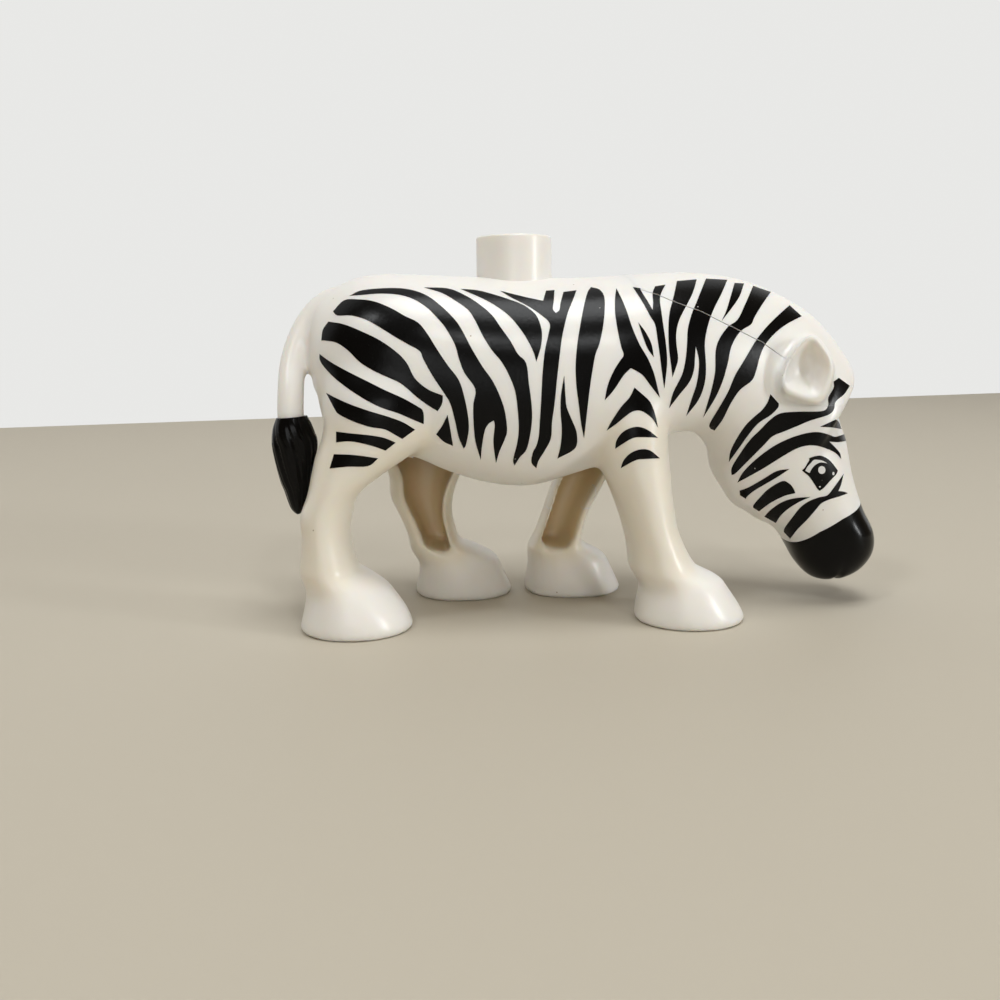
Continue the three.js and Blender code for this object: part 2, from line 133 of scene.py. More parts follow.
# Locks of the tuft, their depth and that of the finer ones as a share of it, and their twist
LOCKS = 7
LOCK_DEPTH = 0.1
FINE_LOCK_SHARE = 0.25
LOCK_TWIST = 1.3

# Trunk, neck and head: top along, top height, bottom along, bottom height, half width,
# narrowing toward the top, squareness, as shares of the main sizes
BODY_SECTIONS = [
    [0.065, 0.797, 0.067, 0.680, 0.182, 0.00, 1.00],
    [0.069, 0.866, 0.080, 0.625, 0.455, 0.00, 1.02],
    [0.088, 0.932, 0.088, 0.560, 0.674, 0.00, 1.05],
    [0.127, 0.981, 0.121, 0.494, 0.848, 0.00, 1.10],
    [0.173, 1.001, 0.173, 0.483, 0.947, 0.02, 1.15],
    [0.231, 1.000, 0.225, 0.468, 0.992, 0.03, 1.18],
    [0.289, 0.995, 0.283, 0.421, 1.000, 0.04, 1.18],
    [0.354, 0.991, 0.348, 0.383, 1.000, 0.05, 1.15],
    [0.419, 0.988, 0.412, 0.376, 1.000, 0.06, 1.15],
    [0.483, 0.988, 0.481, 0.410, 0.992, 0.08, 1.15],
    [0.548, 0.993, 0.541, 0.447, 0.970, 0.10, 1.15],
    [0.612, 1.000, 0.599, 0.499, 0.909, 0.13, 1.15],
    [0.683, 1.001, 0.660, 0.533, 0.818, 0.17, 1.12],
    [0.755, 0.984, 0.701, 0.519, 0.735, 0.20, 1.10],
    [0.823, 0.940, 0.725, 0.461, 0.674, 0.20, 1.05],
    [0.885, 0.872, 0.728, 0.407, 0.644, 0.17, 1.05],
    [0.931, 0.779, 0.745, 0.352, 0.629, 0.12, 1.05],
    [0.955, 0.693, 0.763, 0.304, 0.621, 0.08, 1.05],
    [0.926, 0.617, 0.785, 0.280, 0.598, 0.05, 1.05],
    [0.944, 0.509, 0.805, 0.255, 0.568, 0.03, 1.05],
    [0.957, 0.400, 0.828, 0.236, 0.530, 0.00, 1.10],
    [0.977, 0.299, 0.8475, 0.204, 0.492, 0.00, 1.15],
    [0.997, 0.226, 0.8625, 0.162, 0.485, 0.00, 1.20],
    [1.000, 0.165, 0.878, 0.113, 0.432, 0.00, 1.20],
    [0.987, 0.114, 0.899, 0.072, 0.326, 0.00, 1.10],
    [0.964, 0.078, 0.922, 0.060, 0.167, 0.00, 1.00],
]

# Legs: heights of the level sections, then their inner face, squareness and outer face, as
# shares of the main sizes. Each leg has its side, its place along the figure, its outer face,
# and its rear and front in lengths of the hoof.
LEG_HEIGHTS = [
    0, 0.012, 0.052, 0.099, 0.122, 0.151, 0.174, 0.212, 0.271, 0.329, 0.388, 0.447,
    0.501, 0.565, 0.659, 0.753, 0.847, 0.906,
]
LEG_INNER = [
    0.48, 0.5, 0.49, 0.465, 0.445, 0.43, 0.43, 0.43, 0.43, 0.43, 0.43, 0.43,
    0.43, 0.35, 0.27, 0.19, 0.19, 0.15,
]
LEG_FLATNESS = [1.1, 1.12, 1.2, 1.32, 1.45, 1.6, 1.75, 1.9, 2, 2, 2, 2, 2, 1.8, 1.5, 1.2, 1, 1]
HIND_OUTER = [
    0.48, 0.5, 0.485, 0.445, 0.42, 0.395, 0.385, 0.38, 0.375, 0.38, 0.395, 0.415,
    0.435, 0.445, 0.43, 0.3, 0.05, -0.15,
]
FRONT_OUTER = [
    0.48, 0.5, 0.485, 0.445, 0.42, 0.395, 0.38, 0.37, 0.365, 0.365, 0.37, 0.38,
    0.39, 0.385, 0.335, 0.12, -0.12, -0.25,
]
LEGS = {
    "near_hind": (-1, 0.1318, HIND_OUTER, [
        -0.49, -0.512, -0.483, -0.45, -0.455, -0.49, -0.5, -0.485, -0.47, -0.475, -0.405, -0.36,
        -0.315, -0.24, -0.22, -0.16, -0.04, 0.13], [
        0.49, 0.515, 0.462, 0.354, 0.288, 0.152, 0.028, -0.009, -0.043, -0.013, 0.055, 0.29,
        0.55, 0.78, 0.864, 0.803, 0.66, 0.508]),
    "far_hind": (1, 0.3062, HIND_OUTER, [
        -0.48, -0.5, -0.47, -0.455, -0.485, -0.538, -0.553, -0.576, -0.652, -0.735, -0.742,
        -0.82, -0.93, -1.045, -1.16, -1.18, -1.08, -0.89], [
        0.49, 0.51, 0.445, 0.381, 0.336, 0.17, -0.012, -0.068, -0.107, -0.091, -0.023, 0.068,
        0.144, 0.159, 0.129, -0.02, -0.33, -0.515]),
    "near_front": (-1, 0.6615, FRONT_OUTER, [
        -0.49, -0.508, -0.49, -0.453, -0.491, -0.545, -0.556, -0.565, -0.606, -0.667, -0.742,
        -0.826, -0.879, -0.924, -0.939, -0.864, -0.705, -0.6], [
        0.49, 0.515, 0.45, 0.346, 0.289, 0.1, 0.026, -0.045, -0.126, -0.161, -0.189, -0.207,
        -0.23, -0.235, -0.212, -0.227, -0.36, -0.45]),
    "far_front": (1, 0.5007, FRONT_OUTER, [
        -0.48, -0.5, -0.477, -0.458, -0.462, -0.458, -0.413, -0.36, -0.292, -0.231, -0.163,
        -0.102, -0.057, -0.027, 0.004, 0.08, 0.239, 0.35], [
        0.49, 0.51, 0.451, 0.379, 0.325, 0.15, 0.08, 0.103, 0.159, 0.256, 0.36, 0.466,
        0.549, 0.625, 0.693, 0.693, 0.58, 0.5]),
}

# Level sections with the hollow of a leg, and the walls left behind and ahead of it in the
# far legs, where they differ from the rim
RECESS_ROWS = slice(5, 14)
RECESS_WALLS = {"far_hind": (1.95, 1.4), "far_front": (0.65, 1.25)}

# Seam of the mane insert and the edge of the black muzzle, in side view
SEAM = [
    [0.559, 1.024], [0.574, 0.948], [0.602, 0.932], [0.633, 0.907], [0.668, 0.884],
    [0.709, 0.848], [0.767, 0.799], [0.788, 0.775], [0.811, 0.746], [0.801, 0.720],
    [0.796, 0.668], [0.805, 0.635], [0.835, 0.619], [0.890, 0.614], [0.981, 0.609],
]
MUZZLE_EDGE = [
    [0.780, 0.141], [0.835, 0.157], [0.858, 0.192], [0.884, 0.237],
    [0.919, 0.276], [0.952, 0.302], [1.019, 0.355],
]

# Points of the seam where it shows as a hairline, on the neck only
OPEN_POINTS = range(2, 8)

# Tail: along, height, sway; tuft down from it: along, height, deep, wide
TAIL_PATH = [
    [0.15, 0.895, 0], [0.117, 0.937, 0.01], [0.0795, 0.900, 0.1], [0.0535, 0.827, 0.28],
    [0.040, 0.744, 0.55], [0.0382, 0.67, 0.85], [0.038, 0.61, 1], [0.039, 0.575, 1],
]
TUFT_SECTIONS = [
    [0.0395, 0.603, 0.40, 0.78], [0.0405, 0.577, 0.51, 0.93], [0.0415, 0.550, 0.57, 0.99],
    [0.0425, 0.530, 0.60, 1.00], [0.042, 0.508, 0.585, 1.00], [0.0415, 0.470, 0.52, 0.98],
    [0.042, 0.433, 0.44, 0.92], [0.0435, 0.402, 0.37, 0.83], [0.043, 0.371, 0.28, 0.66],
    [0.0425, 0.348, 0.20, 0.46], [0.043, 0.335, 0.13, 0.30], [0.044, 0.325, 0.05, 0.12],
]

# The camera stands where the photograph was taken from: place, turn, tilt and roll
CAMERA_PLACE = (-18.979, -125.069, 34.647)
CAMERA_TURN = 0.067
CAMERA_TILT = 0.163
CAMERA_ROLL = 0.010
PHOTO_SIZE = 1000
LENS_PIXELS = 983
FILM_WIDTH = 36.0

# Enlarged views of the photograph on which the prints and the ear were outlined: left edge, top
# edge and enlargement
FLANK_VIEW = (270, 230, 5.407)
MIDDLE_VIEW = (500, 230, 4.126)
HEAD_VIEW = (680, 270, 4.75)
EYE_VIEW = (796, 440, 26.14)
EAR_VIEW = (772, 328, 17.81)

RUMP_STRIPES = [
    [(430, 355), (500, 325), (650, 313), (760, 322), (850, 355), (930, 415), (1000, 485),
     (1040, 545), (1090, 640), (1150, 740), (1200, 810), (1240, 890), (1270, 980), (1282, 1080),
     (1270, 1130), (1240, 1200), (1222, 1262), (1208, 1150), (1215, 1060), (1210, 1030),
     (1180, 1050), (1160, 1090), (1145, 1180), (1140, 1245), (1110, 1140), (1100, 1030),
     (1100, 940), (1110, 860), (1050, 770), (1020, 690), (1000, 620), (950, 530), (900, 470),
     (850, 420), (780, 375), (700, 350), (600, 343), (500, 350)],
    [(400, 380), (480, 375), (560, 385), (650, 420), (730, 465), (800, 500), (850, 560),
     (900, 640), (960, 730), (1020, 810), (1050, 900), (1070, 1000), (1075, 1080), (1060, 1160),
     (1047, 1183), (1020, 1120), (1000, 1030), (975, 940), (940, 880), (880, 790), (830, 700),
     (810, 655), (750, 620), (680, 580), (600, 530), (520, 485), (440, 462), (365, 462),
     (340, 440)],
    [(315, 495), (400, 510), (500, 550), (600, 600), (690, 665), (740, 720), (770, 780),
     (800, 820), (860, 865), (935, 895), (930, 940), (907, 980), (850, 945), (790, 900),
     (740, 855), (690, 820), (600, 780), (540, 750), (480, 710), (420, 650), (360, 610),
     (300, 598), (277, 598), (285, 540)],
    [(267, 670), (330, 715), (420, 765), (520, 815), (620, 865), (720, 910), (800, 955),
     (825, 975), (832, 1010), (831, 1050), (760, 1020), (690, 990), (600, 960), (520, 920),
     (440, 870), (360, 810), (300, 750), (270, 705)],
    [(833, 310), (960, 315), (1050, 350), (1130, 400), (1200, 460), (1250, 530), (1300, 600),
     (1340, 670), (1385, 720), (1400, 830), (1415, 950), (1415, 1050), (1390, 1180),
     (1350, 1230), (1322, 1275), (1315, 1240), (1335, 1160), (1345, 1080), (1340, 980),
     (1325, 870), (1290, 780), (1250, 710), (1200, 650), (1150, 570), (1110, 490), (1070, 430),
     (1000, 380), (930, 340)],
    [(1030, 318), (1120, 325), (1200, 345), (1280, 370), (1360, 400), (1420, 440), (1450, 480),
     (1470, 550), (1465, 630), (1440, 712), (1425, 660), (1390, 590), (1350, 530), (1300, 470),
     (1230, 415), (1150, 370)],
    [(960, 1000), (975, 1080), (990, 1168), (940, 1145), (898, 1105), (930, 1060)],
]
THIGH_STRIPES = [
    [(303, 880), (360, 910), (440, 945), (540, 980), (640, 1010), (720, 1040), (785, 1080),
     (715, 1130), (680, 1110), (620, 1078), (540, 1065), (450, 1035), (370, 995), (345, 960)],
    [(357, 1090), (440, 1100), (540, 1110), (620, 1125), (680, 1150), (625, 1193), (560, 1170),
     (480, 1150), (420, 1143), (357, 1148)],
    [(345, 1212), (460, 1217), (585, 1235), (530, 1277), (420, 1280), (322, 1290)],
]
BARREL_STRIPES = [
    [(0, 250), (100, 275), (178, 292), (190, 250), (225, 247), (222, 290), (218, 325),
     (230, 342), (245, 330), (250, 300), (262, 255), (316, 248), (300, 290), (280, 340),
     (265, 400), (255, 450), (245, 530), (235, 620), (225, 720), (215, 790), (210, 860),
     (185, 910), (160, 950), (150, 983), (130, 960), (135, 920), (150, 890), (160, 850),
     (165, 780), (170, 700), (175, 600), (185, 500), (200, 430), (205, 385), (170, 350),
     (110, 310), (50, 280)],
    [(265, 600), (270, 680), (275, 730), (295, 780), (315, 830), (318, 880), (300, 910),
     (237, 943), (250, 890), (255, 820), (250, 750), (252, 680)],
    [(375, 235), (410, 245), (430, 275), (432, 330), (425, 400), (410, 470), (395, 510),
     (385, 560), (370, 660), (355, 790), (347, 860), (335, 800), (325, 720), (315, 640),
     (312, 560), (318, 480), (330, 400), (345, 320), (360, 260)],
    [(480, 240), (505, 290), (525, 340), (545, 400), (575, 470), (610, 530), (635, 590),
     (650, 650), (660, 692), (620, 640), (590, 600), (560, 580), (540, 570), (510, 600),
     (470, 660), (432, 703), (445, 640), (470, 580), (495, 540), (510, 515), (500, 480),
     (485, 410), (475, 340), (475, 280)],
    [(570, 380), (600, 420), (625, 470), (635, 525), (610, 490), (590, 440)],
    [(548, 235), (580, 240), (582, 250), (610, 295), (630, 330), (632, 300), (630, 260),
     (640, 232), (683, 225), (665, 260), (660, 290), (665, 330), (675, 400), (685, 470),
     (690, 540), (685, 600), (678, 655), (670, 600), (660, 520), (650, 450), (640, 390),
     (620, 355), (590, 300)],
]
SHOULDER_STRIPES = [
    [(555, 650), (590, 680), (620, 710), (640, 760), (652, 815), (630, 780), (600, 755),
     (575, 745), (545, 750), (510, 775), (480, 800), (440, 828), (460, 790), (500, 730),
     (535, 690)],
    [(475, 903), (480, 870), (500, 840), (530, 820), (570, 812), (610, 825), (652, 857),
     (590, 855), (550, 858), (510, 880)],
    [(498, 983), (510, 950), (540, 920), (580, 905), (620, 910), (660, 942), (600, 945),
     (560, 950)],
]
NECK_STRIPES = [
    [(730, 210), (812, 203), (795, 260), (770, 310), (740, 370), (728, 420), (728, 470),
     (735, 530), (725, 570), (712, 607), (705, 550), (697, 480), (695, 400), (700, 340),
     (710, 300), (722, 250)],
    [(850, 200), (938, 205), (915, 260), (885, 320), (865, 370), (850, 430), (845, 480),
     (850, 560), (845, 630), (820, 700), (768, 768), (790, 700), (810, 640), (820, 580),
     (820, 530), (808, 480), (805, 520), (800, 580), (780, 630), (740, 680), (698, 735),
     (715, 670), (750, 600), (765, 540), (772, 470), (775, 410), (790, 350), (810, 300),
     (830, 250)],
    [(968, 218), (1007, 220), (990, 270), (965, 310), (915, 375), (935, 330), (950, 280)],
    [(1045, 230), (1118, 255), (1080, 310), (1050, 360), (1035, 390), (990, 420), (955, 480),
     (940, 550), (920, 620), (890, 690), (838, 775), (855, 720), (875, 650), (888, 580),
     (890, 500), (905, 450), (940, 400), (980, 370), (1010, 310)],
    [(1195, 310), (1245, 355), (1180, 390), (1130, 430), (1090, 480), (1070, 530), (1060, 570),
     (1040, 620), (990, 660), (950, 720), (920, 780), (885, 828), (868, 820), (865, 800),
     (900, 740), (940, 670), (970, 600), (1000, 550), (1030, 500), (1060, 450), (1100, 400),
     (1150, 350)],
]
FACE_STRIPES = [
    [(430, 590), (470, 635), (465, 655), (430, 690), (390, 715), (360, 740), (320, 790),
     (270, 860), (232, 912), (240, 860), (270, 800), (310, 740), (350, 700), (390, 665),
     (415, 630)],
    [(245, 975), (245, 940), (280, 880), (330, 810), (380, 760), (430, 710), (480, 680),
     (560, 673), (650, 672), (690, 665), (705, 640), (705, 605), (730, 560), (730, 530),
     (755, 512), (807, 550), (780, 590), (740, 625), (730, 665), (700, 690), (620, 715),
     (560, 740), (500, 765), (440, 790), (400, 830), (350, 880), (300, 930), (265, 965)],
    [(665, 745), (740, 710), (755, 722), (768, 755), (720, 748)],
    [(272, 1010), (300, 960), (360, 900), (440, 840), (520, 800), (600, 775), (660, 770),
     (710, 783), (740, 792), (785, 778), (789, 812), (750, 818), (710, 815), (735, 840),
     (760, 870), (766, 898), (740, 870), (700, 850), (650, 835), (600, 835), (550, 850),
     (480, 890), (400, 940), (320, 985)],
    [(778, 968), (765, 1020), (752, 1050), (775, 1052), (798, 1060), (760, 1075), (710, 1090),
     (670, 1110), (640, 1145), (600, 1190), (560, 1230), (523, 1277), (493, 1245), (497, 1225),
     (530, 1180), (570, 1130), (610, 1100), (660, 1080), (700, 1070), (730, 1035)],
    [(520, 945), (460, 985), (400, 1020), (350, 1050), (320, 1075), (312, 1087), (285, 1070),
     (283, 1048), (330, 1030), (400, 990), (460, 955)],
    [(485, 1003), (520, 1015), (540, 1040), (548, 1060), (500, 1072), (450, 1095), (410, 1120),
     (375, 1147), (348, 1130), (350, 1115), (380, 1080), (420, 1040)],
    [(620, 1078), (570, 1100), (520, 1130), (480, 1165), (455, 1202), (400, 1172), (430, 1140),
     (480, 1105), (540, 1085)],
]
EYE_OUTLINE = [
    (150, 790), (215, 745), (290, 625), (350, 520), (338, 480), (430, 445), (540, 415), (650, 410),
    (780, 460), (900, 550), (1000, 670), (1095, 800), (1050, 900), (900, 1060), (740, 1240),
    (620, 1330), (560, 1280), (500, 1180), (400, 1030), (320, 930), (230, 860),
]
EYE_WHITE = [
    (245, 805), (300, 700), (390, 600), (470, 520), (600, 520), (720, 550), (820, 612), (700, 588),
    (620, 592), (520, 640), (435, 720), (375, 820), (352, 862), (300, 835),
]
EYE_GLINTS = [(675, 785, 96, 104), (978, 876, 28, 44), (622, 1222, 24, 16)]

# Outline of an ear and its middle, the way the middle drifts toward the deepest place of the
# dish, and its profile: size, and place across the figure in millimetres
EAR_OUTLINE = [
    (640, 125), (725, 88), (800, 118), (870, 205), (955, 325), (1050, 460), (1110, 600), (1128, 740),
    (1105, 880), (1060, 1020), (1010, 1160), (945, 1290), (830, 1365), (680, 1365), (520, 1310),
    (370, 1255), (240, 1205), (160, 1120), (145, 980), (175, 800), (240, 620), (340, 440), (480, 255),
]
EAR_MIDDLE = (650, 780)
DISH_DRIFT = (-80, -170)
EAR_PROFILE = [
    (0.86, -5.6), (0.95, -7.2), (1.00, -8.6), (1.00, -9.4), (0.975, -10.0), (0.935, -10.35),
    (0.885, -10.5), (0.83, -10.4), (0.76, -10.05), (0.67, -9.55), (0.56, -9.0), (0.43, -8.55),
    (0.28, -8.25), (0.10, -8.1),
]

# Room in the head for the dish: size, and where it begins and ends across the figure
EAR_POCKET_SIZE = 0.72
EAR_POCKET_REACH = (-7.6, -12)

# Black prints, each group with the view it was outlined on
BLACK_PRINTS = [
    (FLANK_VIEW, RUMP_STRIPES + THIGH_STRIPES),
    (MIDDLE_VIEW, BARREL_STRIPES + SHOULDER_STRIPES + NECK_STRIPES),
    (HEAD_VIEW, FACE_STRIPES),
    (EYE_VIEW, [EYE_OUTLINE]),
]

# The room, in metres: the floor, and the wall whose foot runs through two points of the
# photograph, with its colour in the light and the colour that the camera sees
FLOOR_SIZE = 3
FLOOR_PLACE = (0, 0.6, 0)
FLOOR_COLOUR = (0.53, 0.485, 0.40)
WALL_FOOT = [(0, 428), (1000, 393)]
WALL_SPREAD = 1.5
WALL_HEIGHT = 1.6
WALL_COLOUR = (0.80, 0.80, 0.79)
WALL_SHOWN = (0.81, 0.81, 0.795)

# Soft lamps: place, width and height in metres, and power
LAMPS = {
    "ceiling": ((0.06, -0.12, 0.75), (0.34, 0.34), 2.9),
    "ceiling_left": ((-0.35, -0.34, 0.66), (0.09, 0.09), 0.9),
    "window_front": ((0.14, -0.60, 0.55), (0.08, 0.08), 0.65),
    "window_right": ((0.62, -0.34, 0.15), (0.08, 0.22), 1.6),
    "window_low": ((-0.08, -0.62, 0.15), (0.25, 0.2), 0.4),
}
LAMP_COLOUR = (0.96, 0.985, 1.0)
LAMP_AIM = (0, 0, 0.02)

# Warm light from all round, and the background that the camera sees
SURROUND_COLOUR = (1, 0.80, 0.54)
SURROUND_STRENGTH = 0.19
BACKGROUND_SHOWN = (0.80, 0.80, 0.785)


def along(share):
    return TAIL_END + share * FIGURE_LENGTH


def high(share):
    return share * BACK_HEIGHT


def smooth_rows(rows, steps):
    """Rows of numbers with smooth in-between rows."""
    rows = np.array(rows, float)
    padded = np.vstack([2 * rows[0] - rows[1], rows, 2 * rows[-1] - rows[-2]])
    finer = []
    for index in range(len(rows) - 1):
        a, b, c, d = padded[index:index + 4]
        for t in np.arange(steps) / steps:
            bend = (2 * a - 5 * b + 4 * c - d) * t**2 + (3 * b - a - 3 * c + d) * t**3
            finer.append((2 * b + (c - a) * t + bend) / 2)
    finer.append(rows[-1])
    return np.array(finer)


def signed_power(value, power):
    return np.sign(value) * np.abs(value)**power


def turn_angles(sides):
    return np.arange(sides) / sides * 2 * math.pi


# Camera and its rays

def camera_axes():
    """Right, down and forward of the camera in the figure's frame."""
    turn_cos, turn_sin = math.cos(CAMERA_TURN), math.sin(CAMERA_TURN)
    tilt_cos, tilt_sin = math.cos(CAMERA_TILT), math.sin(CAMERA_TILT)
    forward = np.array([turn_sin * tilt_cos, turn_cos * tilt_cos, -tilt_sin])
    right = np.array([turn_cos, -turn_sin, 0])
    down = np.cross(forward, right)
    roll_cos, roll_sin = math.cos(CAMERA_ROLL), math.sin(CAMERA_ROLL)
    return roll_cos * right + roll_sin * down, roll_cos * down - roll_sin * right, forward


def seen_at(px, py, place, axis=ACROSS):
    """The point behind a pixel of the photograph at a place on an axis."""
    right, down, forward = camera_axes()
    middle = PHOTO_SIZE / 2
    ray = forward + right * (px - middle) / LENS_PIXELS + down * (py - middle) / LENS_PIXELS
    start = np.array(CAMERA_PLACE)
    return start + ray * (place - start[axis]) / ray[axis]


def make_camera():
    right, down, forward = camera_axes()
    bpy.ops.object.camera_add()
    camera = bpy.context.object
    camera.name = "photo_camera"
    place = Matrix.Identity(4)
    for column, axis in enumerate([right, -down, -forward]):
        place.col[column].xyz = axis
    place.col[3].xyz = np.array(CAMERA_PLACE) * MM
    camera.matrix_world = place
    camera.data.sensor_width = FILM_WIDTH
    camera.data.lens = FILM_WIDTH * LENS_PIXELS / PHOTO_SIZE
    camera.data.clip_start = 0.01
    bpy.context.scene.camera = camera


# Tools for modelling

def select_only(piece):
    bpy.ops.object.select_all(action="DESELECT")
    piece.select_set(True)
    bpy.context.view_layer.objects.active = piece


def mesh_piece(name, points, faces):
    """A mesh from points in millimetres, with its faces turned outward."""
    mesh = bpy.data.meshes.new(name)
    mesh.from_pydata([tuple(np.array(point) * MM) for point in points], [], faces)
    piece = bpy.data.objects.new(name, mesh)
    bpy.context.collection.objects.link(piece)
    face_outward(piece)
    return piece


def edit_all(piece, change, **settings):
    """Makes a change to the whole mesh of a piece."""
    select_only(piece)
    bpy.ops.object.mode_set(mode="EDIT")
    bpy.ops.mesh.select_all(action="SELECT")
    change(**settings)
    bpy.ops.object.mode_set(mode="OBJECT")


def face_outward(piece):
    edit_all(piece, bpy.ops.mesh.normals_make_consistent, inside=False)


def loft(name, rings):
    """A closed skin over rings that have the same number of points."""
    sides = len(rings[0])
    points = [point for ring in rings for point in ring]
    faces = []
    for ring in range(len(rings) - 1):
        for side in range(sides):
            a, b = ring * sides + side, ring * sides + (side + 1) % sides
            faces.append((a, b, b + sides, a + sides))
    faces.append(tuple(range(sides - 1, -1, -1)))
    faces.append(tuple(range(len(points) - sides, len(points))))
    return mesh_piece(name, points, faces)


def shape_with(piece, kind, **settings):
    """Adds a modifier, sets it and applies it."""
    select_only(piece)
    modifier = piece.modifiers.new(kind.title(), kind)
    for setting, value in settings.items():
        setattr(modifier, setting, value)
    bpy.ops.object.modifier_apply(modifier=modifier.name)


def combine(piece, tool, operation):
    """Joins a piece with a tool, or cuts it with the tool, and removes the tool."""
    shape_with(piece, "BOOLEAN", operation=operation, object=tool, solver="MANIFOLD")
    remove(tool)
    return piece


def remove(piece):
    bpy.data.objects.remove(piece, do_unlink=True)


def copy_of(piece, name):
    twin = piece.copy()
    twin.data = piece.data.copy()
    twin.name = name
    bpy.context.collection.objects.link(twin)
    return twin


def join(name, pieces):
    bpy.ops.object.select_all(action="DESELECT")
    for piece in pieces:
        piece.select_set(True)
    bpy.context.view_layer.objects.active = pieces[0]
    bpy.ops.object.join()
    whole = bpy.context.object
    whole.name = name
    return whole


def vectors_of(elements, name):
    values = np.empty(len(elements) * 3)
    elements.foreach_get(name, values)
    return values.reshape(-1, 3)


def points_of(piece):
    return vectors_of(piece.data.vertices, "co")


def normals_of(piece):
    return vectors_of(piece.data.vertex_normals, "vector")


def move_points(piece, points):
    piece.data.vertices.foreach_set("co", points.ravel())
    piece.data.update()


def mirrored(piece, name):
    """The same piece on the other side of the figure."""
    twin = copy_of(piece, name)
    points = points_of(twin)
    points[:, 1] *= -1
    move_points(twin, points)
    face_outward(twin)
    return twin


def depth_tree(piece):
    """A search tree of a piece's skin, for distances from it."""
    polygons = [tuple(polygon.vertices) for polygon in piece.data.polygons]
    return BVHTree.FromPolygons([v.co for v in piece.data.vertices], polygons)


def distances(tree, points):
    """How far each point is from the skin that the tree holds, in millimetres."""
    return np.array([tree.find_nearest(point)[3] for point in points]) / MM


def side_block(name, line, closing):
    """A block across the whole figure with the outline given in side view."""
    outline = [tuple(point) for point in line] + closing
    return prism(name, outline, lambda x, z: (x, -BARREL_WIDTH, z),
                 lambda x, z: (x, BARREL_WIDTH, z))


def prism(name, outline, near, far):
    """A closed block between two places of a flat outline."""
    count = len(outline)
    points = [near(*point) for point in outline] + [far(*point) for point in outline]
    caps = tessellate_polygon([[Vector((*point, 0)) for point in outline]])
    faces = [tuple(cap) for cap in caps]
    faces += [tuple(corner + count for corner in reversed(cap)) for cap in caps]
    for a in range(count):
        b = (a + 1) % count
        faces.append((a, b, b + count, a + count))
    return mesh_piece(name, points, faces)


def shifted_line(shares, gaps):
    """A line in side view, moved to the right of its run by a gap at each point."""
    points = np.array([(along(x), high(z)) for x, z in shares])
    gaps = np.broadcast_to(gaps, len(points))
    runs = np.diff(points, axis=0)
    runs /= np.linalg.norm(runs, axis=1)[:, None]
    moved = []
    for index, point in enumerate(points):
        before, after = runs[max(index - 1, 0)], runs[min(index, len(runs) - 1)]
        normal = np.array([before[1] + after[1], -before[0] - after[0]])
        normal /= np.linalg.norm(normal)
        spread = normal[0] * after[1] - normal[1] * after[0]
        moved.append(point + normal * gaps[index] / spread)
    return moved


def above_seam(gap, shut_gap):
    """Everything above the seam, widened by a gap on the neck and another round the ears."""
    gaps = [gap if index in OPEN_POINTS else shut_gap for index in range(len(SEAM))]
    line = shifted_line(SEAM, gaps)
    ahead, above = along(1) + BLOCK_AHEAD, line[0][1] + BLOCK_BEYOND
    return side_block("above_seam", line,
                      [(ahead, line[-1][1]), (ahead, above), (line[0][0], above)])


def below_muzzle_edge(gap):
    """Everything below the edge of the black muzzle, widened by a gap."""
    line = shifted_line(MUZZLE_EDGE, -gap)
    return side_block("below_muzzle_edge", line,
                      [(line[-1][0], -BLOCK_BEYOND), (line[0][0], -BLOCK_BEYOND)])


# Lofts of the moulding

def trunk(sides=96):
    angles = turn_angles(sides)
    rings = []
    for row in smooth_rows(BODY_SECTIONS, SECTION_STEPS):
        top = np.array([along(row[0]), 0, high(row[1])])
        bottom = np.array([along(row[2]), 0, high(row[3])])
        up = signed_power(np.cos(angles), 1 / row[6])
        out = signed_power(np.sin(angles), 1 / row[6]) * (1 - row[5] * up)
        ring = (top + bottom) / 2 + np.outer(up / 2, top - bottom)
        ring[:, 1] = out * row[4] * BARREL_WIDTH / 2
        rings.append(ring)
    return loft("trunk", rings)


def leg_rows(leg):
    """Height, rear, front, inner face, outer face and flatness of a leg's level sections."""
    outer, rear, front = LEGS[leg][2:]
    return np.array([LEG_HEIGHTS, rear, front, LEG_INNER, outer, LEG_FLATNESS]).T


def leg_rings(leg, rows, walls, reach, squareness, sides):
    """Level sections of a leg, or of its hollow between the walls behind, ahead and outside."""
    side, place = LEGS[leg][:2]
    behind, ahead, outside = walls
    angles = turn_angles(sides)
    rings = []
    for height, rear, front, inner, outer, flatness in smooth_rows(rows, SECTION_STEPS):
        rear_x = along(place) + rear * HOOF_LENGTH + behind
        front_x = along(place) + front * HOOF_LENGTH - ahead
        inner_y = HOOF_TRACK / 2 - inner * HOOF_WIDTH - reach
        outer_y = HOOF_TRACK / 2 + outer * HOOF_WIDTH - outside
        power = 1 / np.maximum(squareness, np.where(np.sin(angles) > 0, 1, flatness))
        x = (rear_x + front_x) / 2 + signed_power(np.cos(angles), power) * (front_x - rear_x) / 2
        y = (inner_y + outer_y) / 2 + signed_power(np.sin(angles), power) * (outer_y - inner_y) / 2
        rings.append(np.column_stack([x, side * y, np.full(sides, high(height))]))
    return rings


def leg_form(leg):
    return loft(leg, leg_rings(leg, leg_rows(leg), (0, 0, 0), reach=0, squareness=1, sides=64))


